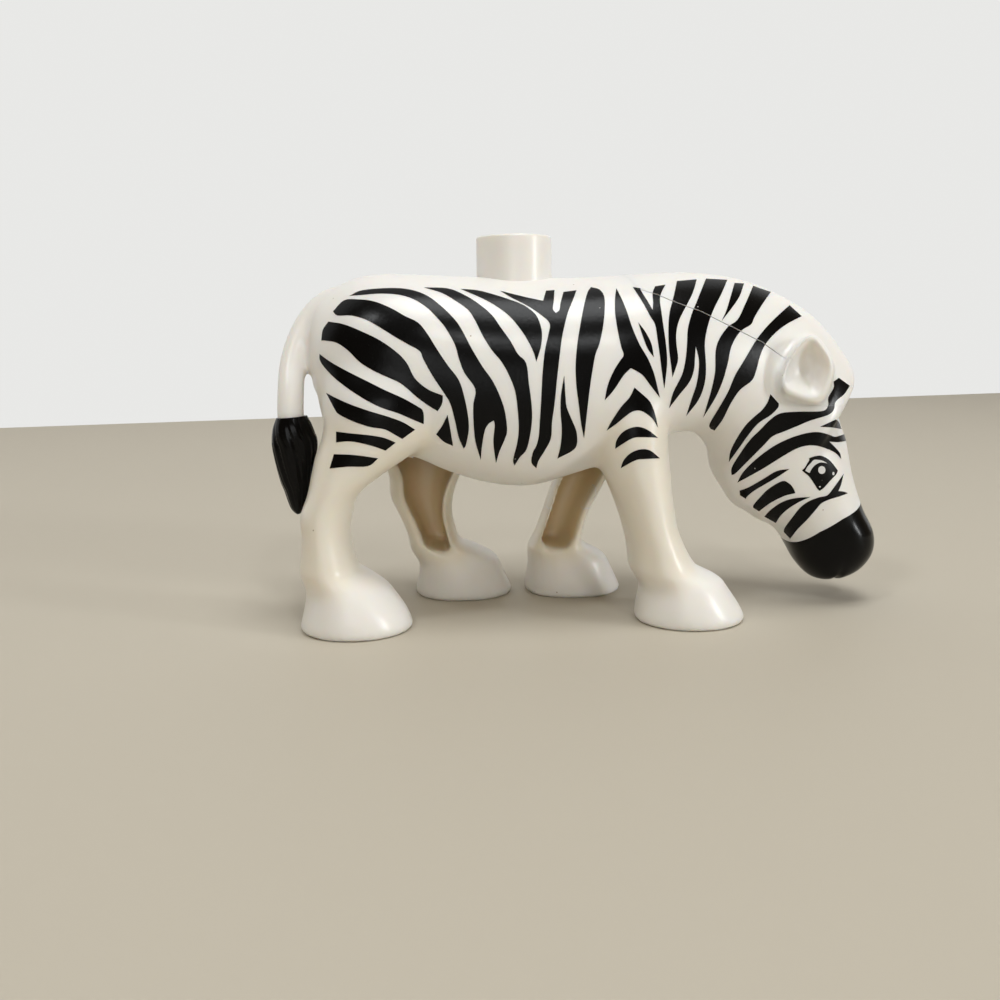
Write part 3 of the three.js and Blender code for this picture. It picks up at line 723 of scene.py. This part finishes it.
def leg_recess(leg):
    """The hollow on the inner face of a leg, rounded at its foot."""
    rows = leg_rows(leg)[RECESS_ROWS]
    rows[0, 0] = RECESS_FLOOR / BACK_HEIGHT
    walls = (*RECESS_WALLS.get(leg, (RECESS_RIM, RECESS_RIM)), RECESS_RIM)
    rings = leg_rings(leg, rows, walls, RECESS_REACH, RECESS_SQUARENESS, sides=48)
    for ring in rings:
        rise = min((ring[0, 2] - RECESS_FLOOR) / RECESS_FOOT_ROUNDING, 1)
        width = max(math.sqrt(1 - (1 - rise)**2), RECESS_NARROWEST)
        middle = ring[:, 0].mean()
        ring[:, 0] = middle + (ring[:, 0] - middle) * width
    return loft(leg + "_recess", rings)


def bar(name, places, sides):
    """A round bar along places, each with its centre, its depth and its width."""
    centres = np.array([place[0] for place in places])
    rings = []
    for index, (centre, deep, wide) in enumerate(places):
        run = centres[min(index + 1, len(centres) - 1)] - centres[max(index - 1, 0)]
        run /= np.linalg.norm(run)
        across = np.array([0, 1, 0]) - run * run[1]
        across /= np.linalg.norm(across)
        depthway = np.cross(run, across)
        angles = turn_angles(sides)
        deep = np.broadcast_to(deep, sides)
        wide = np.broadcast_to(wide, sides)
        rings.append(centre + np.outer(deep * np.cos(angles), depthway)
                     + np.outer(wide * np.sin(angles), across))
    return loft(name, rings)


def tail_form():
    half = TAIL_WIDTH / 2
    places = [(np.array([along(x), -sway * TAIL_SWAY, high(z)]), half, half)
              for x, z, sway in smooth_rows(TAIL_PATH, TAIL_STEPS)]
    return bar("tail", places, sides=40)


def stud_form():
    """The building stud: a cylinder with a softened top edge."""
    low = BACK_HEIGHT - STUD_ROOT
    bpy.ops.mesh.primitive_cylinder_add(
        vertices=128, radius=STUD_WIDTH / 2 * MM, depth=(STUD_TOP - low) * MM,
        location=(STUD_PLACE * MM, 0, (STUD_TOP + low) / 2 * MM))
    stud = bpy.context.object
    stud.name = "stud"
    bpy.ops.object.transform_apply(location=True)
    mark_edges_above(stud, STUD_TOP - STUD_EDGE)
    bpy.ops.object.mode_set(mode="EDIT")
    bpy.ops.mesh.bevel(offset=STUD_EDGE * MM, segments=4, affect="EDGES")
    bpy.ops.object.mode_set(mode="OBJECT")
    return stud


def mark_edges_above(piece, height):
    """Selects only the edges whose two ends lie above a height."""
    select_only(piece)
    bpy.ops.object.mode_set(mode="EDIT")
    bpy.ops.mesh.select_all(action="DESELECT")
    bpy.ops.mesh.select_mode(type="EDGE")
    bpy.ops.object.mode_set(mode="OBJECT")
    vertices = piece.data.vertices
    for edge in piece.data.edges:
        edge.select = min(vertices[corner].co.z for corner in edge.vertices) > height * MM


# The body and what is cut from it

def moulded_skin():
    """Trunk, legs, tail and ears in one skin with soft roots, hollow legs, a mouth line and painted
    warm shade in the hollows.
    """
    skin, tail, ears = trunk(), tail_form(), [ear(side) for side in (-1, 1)]
    forms = [skin, *[leg_form(leg) for leg in LEGS], tail, *ears]
    trees = [depth_tree(form) for form in forms]
    blends = np.array([FINE_BLEND if form in (tail, *ears) else LEG_BLEND for form in forms])
    for side in (-1, 1):
        combine(skin, ear_pocket(side), "DIFFERENCE")
    for form in forms[1:]:
        combine(skin, form, "UNION")
    hollows = join("hollows", [leg_recess(leg) for leg in LEGS])
    hollow_tree = depth_tree(hollows)
    combine(skin, hollows, "DIFFERENCE")
    shape_with(skin, "REMESH", mode="VOXEL", voxel_size=SKIN_GRAIN * MM)
    points = points_of(skin)
    in_hollow = distances(hollow_tree, points)
    soften(skin, np.array([distances(tree, points) for tree in trees]), blends, in_hollow)
    press_mouth(skin)
    # The hollow value of each point is a painted warm shade in the hollows and on their rims
    add_values(skin, "hollow", painted_hollow_shade(points, in_hollow))
    return skin


def soften(skin, away, blends, in_hollow):
    """Smooths the skin, and more so where two forms meet and at the rims of hollows and ears."""
    order = np.argsort(away, axis=0)
    second = np.take_along_axis(away, order[1:2], axis=0)[0]
    roots = np.exp(-(second / np.minimum(blends[order[0]], blends[order[1]]))**2)
    roots[in_hollow < HOLLOW_MARGIN] = 0
    to_ear = away[-2:].min(axis=0)
    to_edge = np.minimum(np.hypot(in_hollow, away.min(axis=0)), to_ear)
    shape_with(skin, "SMOOTH", factor=SMOOTHING, iterations=SKIN_ROUNDS)
    smooth_where(skin, roots, BLEND_ROUNDS)
    smooth_where(skin, np.exp(-(to_edge / RIM_REACH)**2), RIM_ROUNDS)


def smooth_where(skin, weights, rounds):
    group = skin.vertex_groups.new(name="smooth_here")
    for index, weight in enumerate(weights):
        if weight > LEAST_WEIGHT:
            group.add([index], float(weight), "REPLACE")
    shape_with(skin, "SMOOTH", factor=SMOOTHING, iterations=rounds, vertex_group=group.name)
    skin.vertex_groups.clear()


def painted_hollow_shade(points, in_hollow):
    """How much painted warm shade each point gets: most in the depth of the hollows, less on their
    rims.
    """
    inner_face = HOOF_TRACK / 2 - LEG_INNER[RECESS_ROWS.start] * HOOF_WIDTH
    deepness = np.clip((np.abs(points[:, 1]) / MM - inner_face) / PAINTED_SHADE_DEPTH, 0, 1)
    in_depth = deepness * np.clip((PAINTED_SHADE_END - in_hollow) / PAINTED_SHADE_FADE, 0, 1)
    return np.maximum(in_depth, RIM_PAINTED_SHADE * np.exp(-(in_hollow / RIM_PAINTED_SHADE_REACH)**2))


def press_mouth(skin):
    """Lifts the muzzle's underside along a line across it."""
    points, normals = points_of(skin), normals_of(skin)
    off = (points[:, 0] / MM - seen_at(*MOUTH_PLACE)[0]) / MOUTH_WIDTH
    depth = MOUTH_DEPTH * np.exp(-off**2) * np.clip(-normals[:, 2], 0, 1)
    points[:, 2] += depth * MM
    move_points(skin, points)


def add_values(piece, name, values):
    attribute = piece.data.attributes.new(name, "FLOAT", "POINT")
    attribute.data.foreach_set("value", values)


def belly_blank():
    """The place of the plate under the belly, less the legs."""
    height = PLATE_CUT_TOP - PLATE_CUT_FOOT
    middle = (PLATE_CUT_TOP + PLATE_CUT_FOOT) / 2
    bpy.ops.mesh.primitive_cube_add(size=1, location=(PLATE_PLACE * MM, 0, middle * MM))
    blank = bpy.context.object
    blank.name = "belly_blank"
    blank.scale = (PLATE_LENGTH * MM, PLATE_WIDTH * MM, height * MM)
    bpy.ops.object.transform_apply(location=True, rotation=True, scale=True)
    for leg in LEGS:
        combine(blank, leg_form(leg), "DIFFERENCE")
    return blank


def ear_ring(side, size, y):
    """The ear's outline at a size about its middle, at a place across the figure."""
    drift = (1 - size) * np.array(DISH_DRIFT)
    middle = np.array(EAR_MIDDLE)
    outline = np.array(smooth_outline(EAR_OUTLINE, EAR_STEPS))
    outline = middle + drift + (outline - middle) * size
    ring = np.array([seen_at(*point, y) for point in enlarged(EAR_VIEW, outline)])
    ring[:, 1] *= -side
    return ring


def ear(side):
    """A dished leaf whose outline follows the photograph."""
    rows = smooth_rows(EAR_PROFILE, EAR_STEPS)
    return loft("ear", [ear_ring(side, size, y) for size, y in rows])


def ear_pocket(side):
    """The room in the head for the deepest part of an ear's dish."""
    return loft("ear_pocket", [ear_ring(side, EAR_POCKET_SIZE, y) for y in EAR_POCKET_REACH])


def smooth_outline(points, steps):
    """A closed outline made smooth between its sharp corners."""
    points = [np.array(point, float) for point in points]
    count = len(points)
    corners = []
    for index, point in enumerate(points):
        before, after = point - points[index - 1], points[(index + 1) % count] - point
        cross = before[0] * after[1] - before[1] * after[0]
        if abs(math.atan2(cross, before @ after)) > math.radians(SHARP_CORNER):
            corners.append(index)
    if not corners:
        run = points[-2:] + points + points[:3]
        finer = smooth_rows(run, steps)
        return [tuple(point) for point in finer[2 * steps:(2 + count) * steps]]
    finer = []
    for which, start in enumerate(corners):
        end = corners[(which + 1) % len(corners)]
        length = (end - start) % count or count
        run = [points[(start + step) % count] for step in range(length + 1)]
        finer += [tuple(point) for point in smooth_rows(run, steps if length > 1 else 1)[:-1]]
    return finer


def enlarged(view, points):
    """Points of an enlarged view as points of the whole photograph."""
    left, top, scale = view
    return [(left + x / scale, top + y / scale) for x, y in points]


def ray_block(name, outline):
    """A block along the camera's rays through an outline in the photograph."""
    near_y, far_y = PRINT_REACH
    return prism(name, outline, lambda px, py: seen_at(px, py, near_y),
                 lambda px, py: seen_at(px, py, far_y))


def print_layer(skin, lift):
    """A thin closed layer on the skin, for prints to be cut from."""
    outer = copy_of(skin, "print_layer")
    points, normals = points_of(skin), normals_of(skin)
    move_points(outer, points + normals * lift * MM)
    inner = copy_of(skin, "print_back")
    move_points(inner, points - normals * PRINT_HEIGHT * MM)
    edit_all(inner, bpy.ops.mesh.flip_normals)
    return join("print_layer", [outer, inner])


def printed(name, skin, lift, outlines):
    """Prints of the given outlines on both sides of the figure, raised off its skin."""
    layer = print_layer(skin, lift)
    blocks = join(name + "_blocks", [ray_block(name, outline) for outline in outlines])
    far = mirrored(blocks, name + "_far_blocks")
    near_print = combine(copy_of(layer, name), blocks, "INTERSECT")
    return join(name, [near_print, combine(layer, far, "INTERSECT")])


def oval(x, y, across, down, sides=20):
    return [(x + across * math.cos(a), y + down * math.sin(a)) for a in turn_angles(sides)]


def tuft_form(sides=140):
    """The tuft of the tail, with locks that wind down it, three fine ones on each."""
    angles = turn_angles(sides)
    places = []
    rows = smooth_rows(TUFT_SECTIONS, TUFT_STEPS)
    for index, (x, z, deep, wide) in enumerate(rows):
        down = index / (len(rows) - 1)
        twisted = angles - LOCK_TWIST * down
        furrows = 1 - np.abs(np.sin(LOCKS / 2 * twisted))**0.5
        fine_furrows = 1 - np.abs(np.sin(1.5 * LOCKS * twisted + 1))
        depth = LOCK_DEPTH * math.sin(math.pi * down)**0.6
        size = 1 - depth * (furrows + FINE_LOCK_SHARE * fine_furrows)
        centre = np.array([along(x), -TAIL_SWAY, high(z)])
        places.append((centre, deep * TUFT_WIDTH * size, wide * TUFT_WIDTH / 2 * size))
    return bar("tuft", places, sides)


# Materials

def new_material(name):
    """A material with its node tree and its shader."""
    material = bpy.data.materials.new(name)
    material.use_nodes = True
    return material, material.node_tree, material.node_tree.nodes["Principled BSDF"]


def set_inputs(node, values):
    for name, value in values.items():
        node.inputs[name].default_value = value


def add_node(tree, kind, values):
    node = tree.nodes.new(kind)
    set_inputs(node, values)
    return node


def add_grain(tree, shader, scale, strength, depth, roughness):
    """A fine unevenness of the surface, and of its roughness between two values."""
    place = tree.nodes.new("ShaderNodeTexCoord")
    grain = add_node(tree, "ShaderNodeTexNoise", {"Scale": scale, "Detail": 3})
    bump = add_node(tree, "ShaderNodeBump", {"Strength": strength, "Distance": depth})
    smoothest, roughest = roughness
    spread = add_node(tree, "ShaderNodeMapRange", {"To Min": smoothest, "To Max": roughest})
    tree.links.new(place.outputs["Object"], grain.inputs["Vector"])
    tree.links.new(grain.outputs["Fac"], bump.inputs["Height"])
    tree.links.new(bump.outputs["Normal"], shader.inputs["Normal"])
    tree.links.new(grain.outputs["Fac"], spread.inputs["Value"])
    tree.links.new(spread.outputs["Result"], shader.inputs["Roughness"])


def mix_colours(tree, first, second, pattern):
    """Blends a colour, given as a socket or as a value, into a second one by a pattern."""
    mix = tree.nodes.new("ShaderNodeMix")
    mix.data_type = "RGBA"
    if isinstance(first, tuple):
        mix.inputs["A"].default_value = (*first, 1)
    else:
        tree.links.new(first, mix.inputs["A"])
    mix.inputs["B"].default_value = (*second, 1)
    tree.links.new(pattern, mix.inputs["Factor"])
    return mix.outputs["Result"]


def add_specks(tree, shader, spacing, size, colour, base, core=0.6):
    """Sparse small specks with a soft edge, with spacing and size in millimetres."""
    place = tree.nodes.new("ShaderNodeTexCoord")
    spots = add_node(tree, "ShaderNodeTexVoronoi", {"Scale": 1 / (spacing * MM)})
    edge = add_node(tree, "ShaderNodeMapRange", {
        "From Min": core * size / spacing, "From Max": size / spacing, "To Min": 1, "To Max": 0})
    tree.links.new(place.outputs["Object"], spots.inputs["Vector"])
    tree.links.new(spots.outputs["Distance"], edge.inputs["Value"])
    speckled = mix_colours(tree, base, colour, edge.outputs["Result"])
    tree.links.new(speckled, shader.inputs["Base Color"])


def white_plastic():
    material, tree, shader = new_material("white_plastic")
    set_inputs(shader, {
        "Subsurface Weight": 0.22, "Subsurface Radius": (0.0024, 0.0014, 0.0007),
        "Subsurface Scale": 1.0, "Coat Weight": 0.15, "Coat Roughness": 0.2})
    add_grain(tree, shader, scale=900, strength=0.06, depth=0.0001, roughness=(0.28, 0.42))
    # The hollow value mixes a painted warm shade into the white, for the shade and warm bounced light
    # in the hollows of the legs
    hollow = tree.nodes.new("ShaderNodeAttribute")
    hollow.attribute_name = "hollow"
    white = mix_colours(tree, (0.865, 0.845, 0.81), (0.87, 0.74, 0.50), hollow.outputs["Fac"])
    add_specks(tree, shader, spacing=4.0, size=0.11, colour=(0.42, 0.35, 0.26), base=white)
    return material


def black_finish(name, base, scale, strength, roughness):
    material, tree, shader = new_material(name)
    set_inputs(shader, {"Specular IOR Level": 0.15})
    add_grain(tree, shader, scale, strength, depth=0.00005, roughness=roughness)
    add_specks(tree, shader, spacing=3.2, size=0.10, colour=(0.35, 0.35, 0.34), base=base)
    return material


def eye_ink():
    material, tree, shader = new_material("eye_ink")
    set_inputs(shader, {"Base Color": (0.70, 0.70, 0.69, 1)})
    add_grain(tree, shader, scale=1500, strength=0.1, depth=0.0001, roughness=(0.3, 0.4))
    return material


def give(piece, material):
    """Gives a piece its material and the body that it belongs to, and shades it smooth."""
    piece.data.materials.clear()
    piece.data.materials.append(material)
    select_only(piece)
    bpy.ops.object.shade_smooth_by_angle(angle=math.radians(SMOOTH_TURN))
    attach(piece, "root")


# The room: a pale floor, a pale wall behind it and soft lamps

def plain_surface(name, colour, roughness):
    material, _, shader = new_material(name)
    set_inputs(shader, {"Base Color": (*colour, 1), "Roughness": roughness})
    return material


def show_instead(tree, lit, shown, rays, output):
    """Shows one shader to the given rays and the lit one to all others."""
    either = tree.nodes.new("ShaderNodeMixShader")
    tree.links.new(rays, either.inputs[0])
    tree.links.new(lit, either.inputs[1])
    tree.links.new(shown, either.inputs[2])
    tree.links.new(either.outputs["Shader"], output)


def pale_backdrop(name, colour, shown):
    """A plain surface that the camera and reflections see at a given colour."""
    material = plain_surface(name, colour, roughness=0.8)
    tree = material.node_tree
    path = tree.nodes.new("ShaderNodeLightPath")
    seen = tree.nodes.new("ShaderNodeMath")
    seen.operation = "MAXIMUM"
    glow = add_node(tree, "ShaderNodeEmission", {"Color": (*shown, 1)})
    tree.links.new(path.outputs["Is Camera Ray"], seen.inputs[0])
    tree.links.new(path.outputs["Is Glossy Ray"], seen.inputs[1])
    show_instead(tree, tree.nodes["Principled BSDF"].outputs["BSDF"], glow.outputs["Emission"],
                 seen.outputs["Value"], tree.nodes["Material Output"].inputs["Surface"])
    return material


def make_room():
    bpy.ops.mesh.primitive_plane_add(size=FLOOR_SIZE, location=FLOOR_PLACE)
    floor = bpy.context.object
    floor.name = "floor"
    floor.data.materials.append(plain_surface("pale_floor", FLOOR_COLOUR, roughness=0.6))
    left, right = [seen_at(*pixel, 0, axis=UP) * MM for pixel in WALL_FOOT]
    run = (right - left) / np.linalg.norm(right - left)
    start, end = left - run * WALL_SPREAD, right + run * WALL_SPREAD
    rise = np.array([0, 0, WALL_HEIGHT])
    corners = [tuple(corner) for corner in (start, end, end + rise, start + rise)]
    wall_mesh = bpy.data.meshes.new("wall")
    wall_mesh.from_pydata(corners, [], [(0, 1, 2, 3)])
    wall = bpy.data.objects.new("wall", wall_mesh)
    bpy.context.collection.objects.link(wall)
    wall_mesh.materials.append(pale_backdrop("pale_wall", WALL_COLOUR, WALL_SHOWN))


def add_lamp(name, place, size, power):
    """A soft lamp of a width and a height, turned to the figure."""
    bpy.ops.object.light_add(type="AREA", location=place)
    lamp = bpy.context.object
    lamp.name = name
    lamp.data.shape = "RECTANGLE"
    lamp.data.size, lamp.data.size_y = size
    lamp.data.color = LAMP_COLOUR
    lamp.data.energy = power
    lamp.rotation_mode = "QUATERNION"
    lamp.rotation_quaternion = (Vector(place) - Vector(LAMP_AIM)).to_track_quat("Z", "Y")


def make_surroundings():
    """Warm light from all round, which the camera sees as a plain pale background."""
    world = bpy.data.worlds.new("room_light")
    bpy.context.scene.world = world
    world.use_nodes = True
    tree = world.node_tree
    light = tree.nodes["Background"]
    set_inputs(light, {"Color": (*SURROUND_COLOUR, 1), "Strength": SURROUND_STRENGTH})
    plain = add_node(tree, "ShaderNodeBackground", {"Color": (*BACKGROUND_SHOWN, 1)})
    path = tree.nodes.new("ShaderNodeLightPath")
    show_instead(tree, light.outputs["Background"], plain.outputs["Background"],
                 path.outputs["Is Camera Ray"], tree.nodes["World Output"].inputs["Surface"])


def make_light():
    for name, (place, size, power) in LAMPS.items():
        add_lamp(name, place, size, power)
    make_surroundings()


# The figure

def cut_pieces(skin):
    """The body with its stud and openings, the mane insert and the muzzle, from one skin."""
    plain_head = copy_of(skin, "plain_head")
    body = combine(skin, stud_form(), "UNION")
    body.name = "body_skin"
    combine(body, belly_blank(), "DIFFERENCE")
    mane = combine(copy_of(plain_head, "mane_crest"), above_seam(0, 0), "INTERSECT")
    muzzle = combine(plain_head, below_muzzle_edge(0), "INTERSECT")
    muzzle.name = "muzzle_skin"
    combine(body, above_seam(HAIRLINE, SHUT_GAP), "DIFFERENCE")
    combine(body, below_muzzle_edge(SHUT_GAP), "DIFFERENCE")
    return body, mane, muzzle


def print_stripes(skin):
    """The stripes with the black of the eyes, and apart from them the stripes on the mane."""
    outlines = [smooth_outline(enlarged(view, outline), PRINT_STEPS)
                for view, group in BLACK_PRINTS for outline in group]
    stripes = printed("stripes", skin, PRINT_HEIGHT, outlines)
    on_mane = above_seam(-BARE_EDGE, 0)
    mane_stripes = combine(copy_of(stripes, "mane_stripes"), on_mane, "INTERSECT")
    combine(stripes, above_seam(HAIRLINE, SHUT_GAP), "DIFFERENCE")
    combine(stripes, below_muzzle_edge(0), "DIFFERENCE")
    return stripes, mane_stripes


def print_eyes(skin):
    """The white line and the glints of the eyes, raised above their black."""
    outlines = [smooth_outline(enlarged(EYE_VIEW, EYE_WHITE), PRINT_STEPS)]
    outlines += [enlarged(EYE_VIEW, oval(*glint)) for glint in EYE_GLINTS]
    return printed("eye_whites", skin, 2 * PRINT_HEIGHT, outlines)


def build_zebra():
    skin = moulded_skin()
    whole = copy_of(skin, "print_skin")
    body, mane, muzzle = cut_pieces(skin)
    stripes, mane_stripes = print_stripes(whole)
    eye_whites = print_eyes(whole)
    tuft = combine(tuft_form(), whole, "DIFFERENCE")

    white, pale_ink = white_plastic(), eye_ink()
    black = black_finish("black_plastic", (0.0010, 0.0010, 0.0012),
                         scale=900, strength=0.12, roughness=(0.15, 0.24))
    ink = black_finish("stripe_ink", (0.0010, 0.0011, 0.0014),
                       scale=2600, strength=0.25, roughness=(0.21, 0.30))
    give(body, white)
    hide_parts("body_shell")
    give(mane, white)
    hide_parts("mane_insert")
    give(muzzle, black)
    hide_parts("muzzle_cap")
    give(tuft, black)
    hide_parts("tail_tuft")
    give(stripes, ink)
    give(mane_stripes, ink)
    give(eye_whites, pale_ink)

    # The belly plate is its own solid, in the body's white
    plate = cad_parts["belly_plate"]
    plate.data.materials.clear()
    plate.data.materials.append(white)


make_camera()
make_room()
make_light()
build_zebra()
bpy.context.scene.view_settings.view_transform = "Standard"
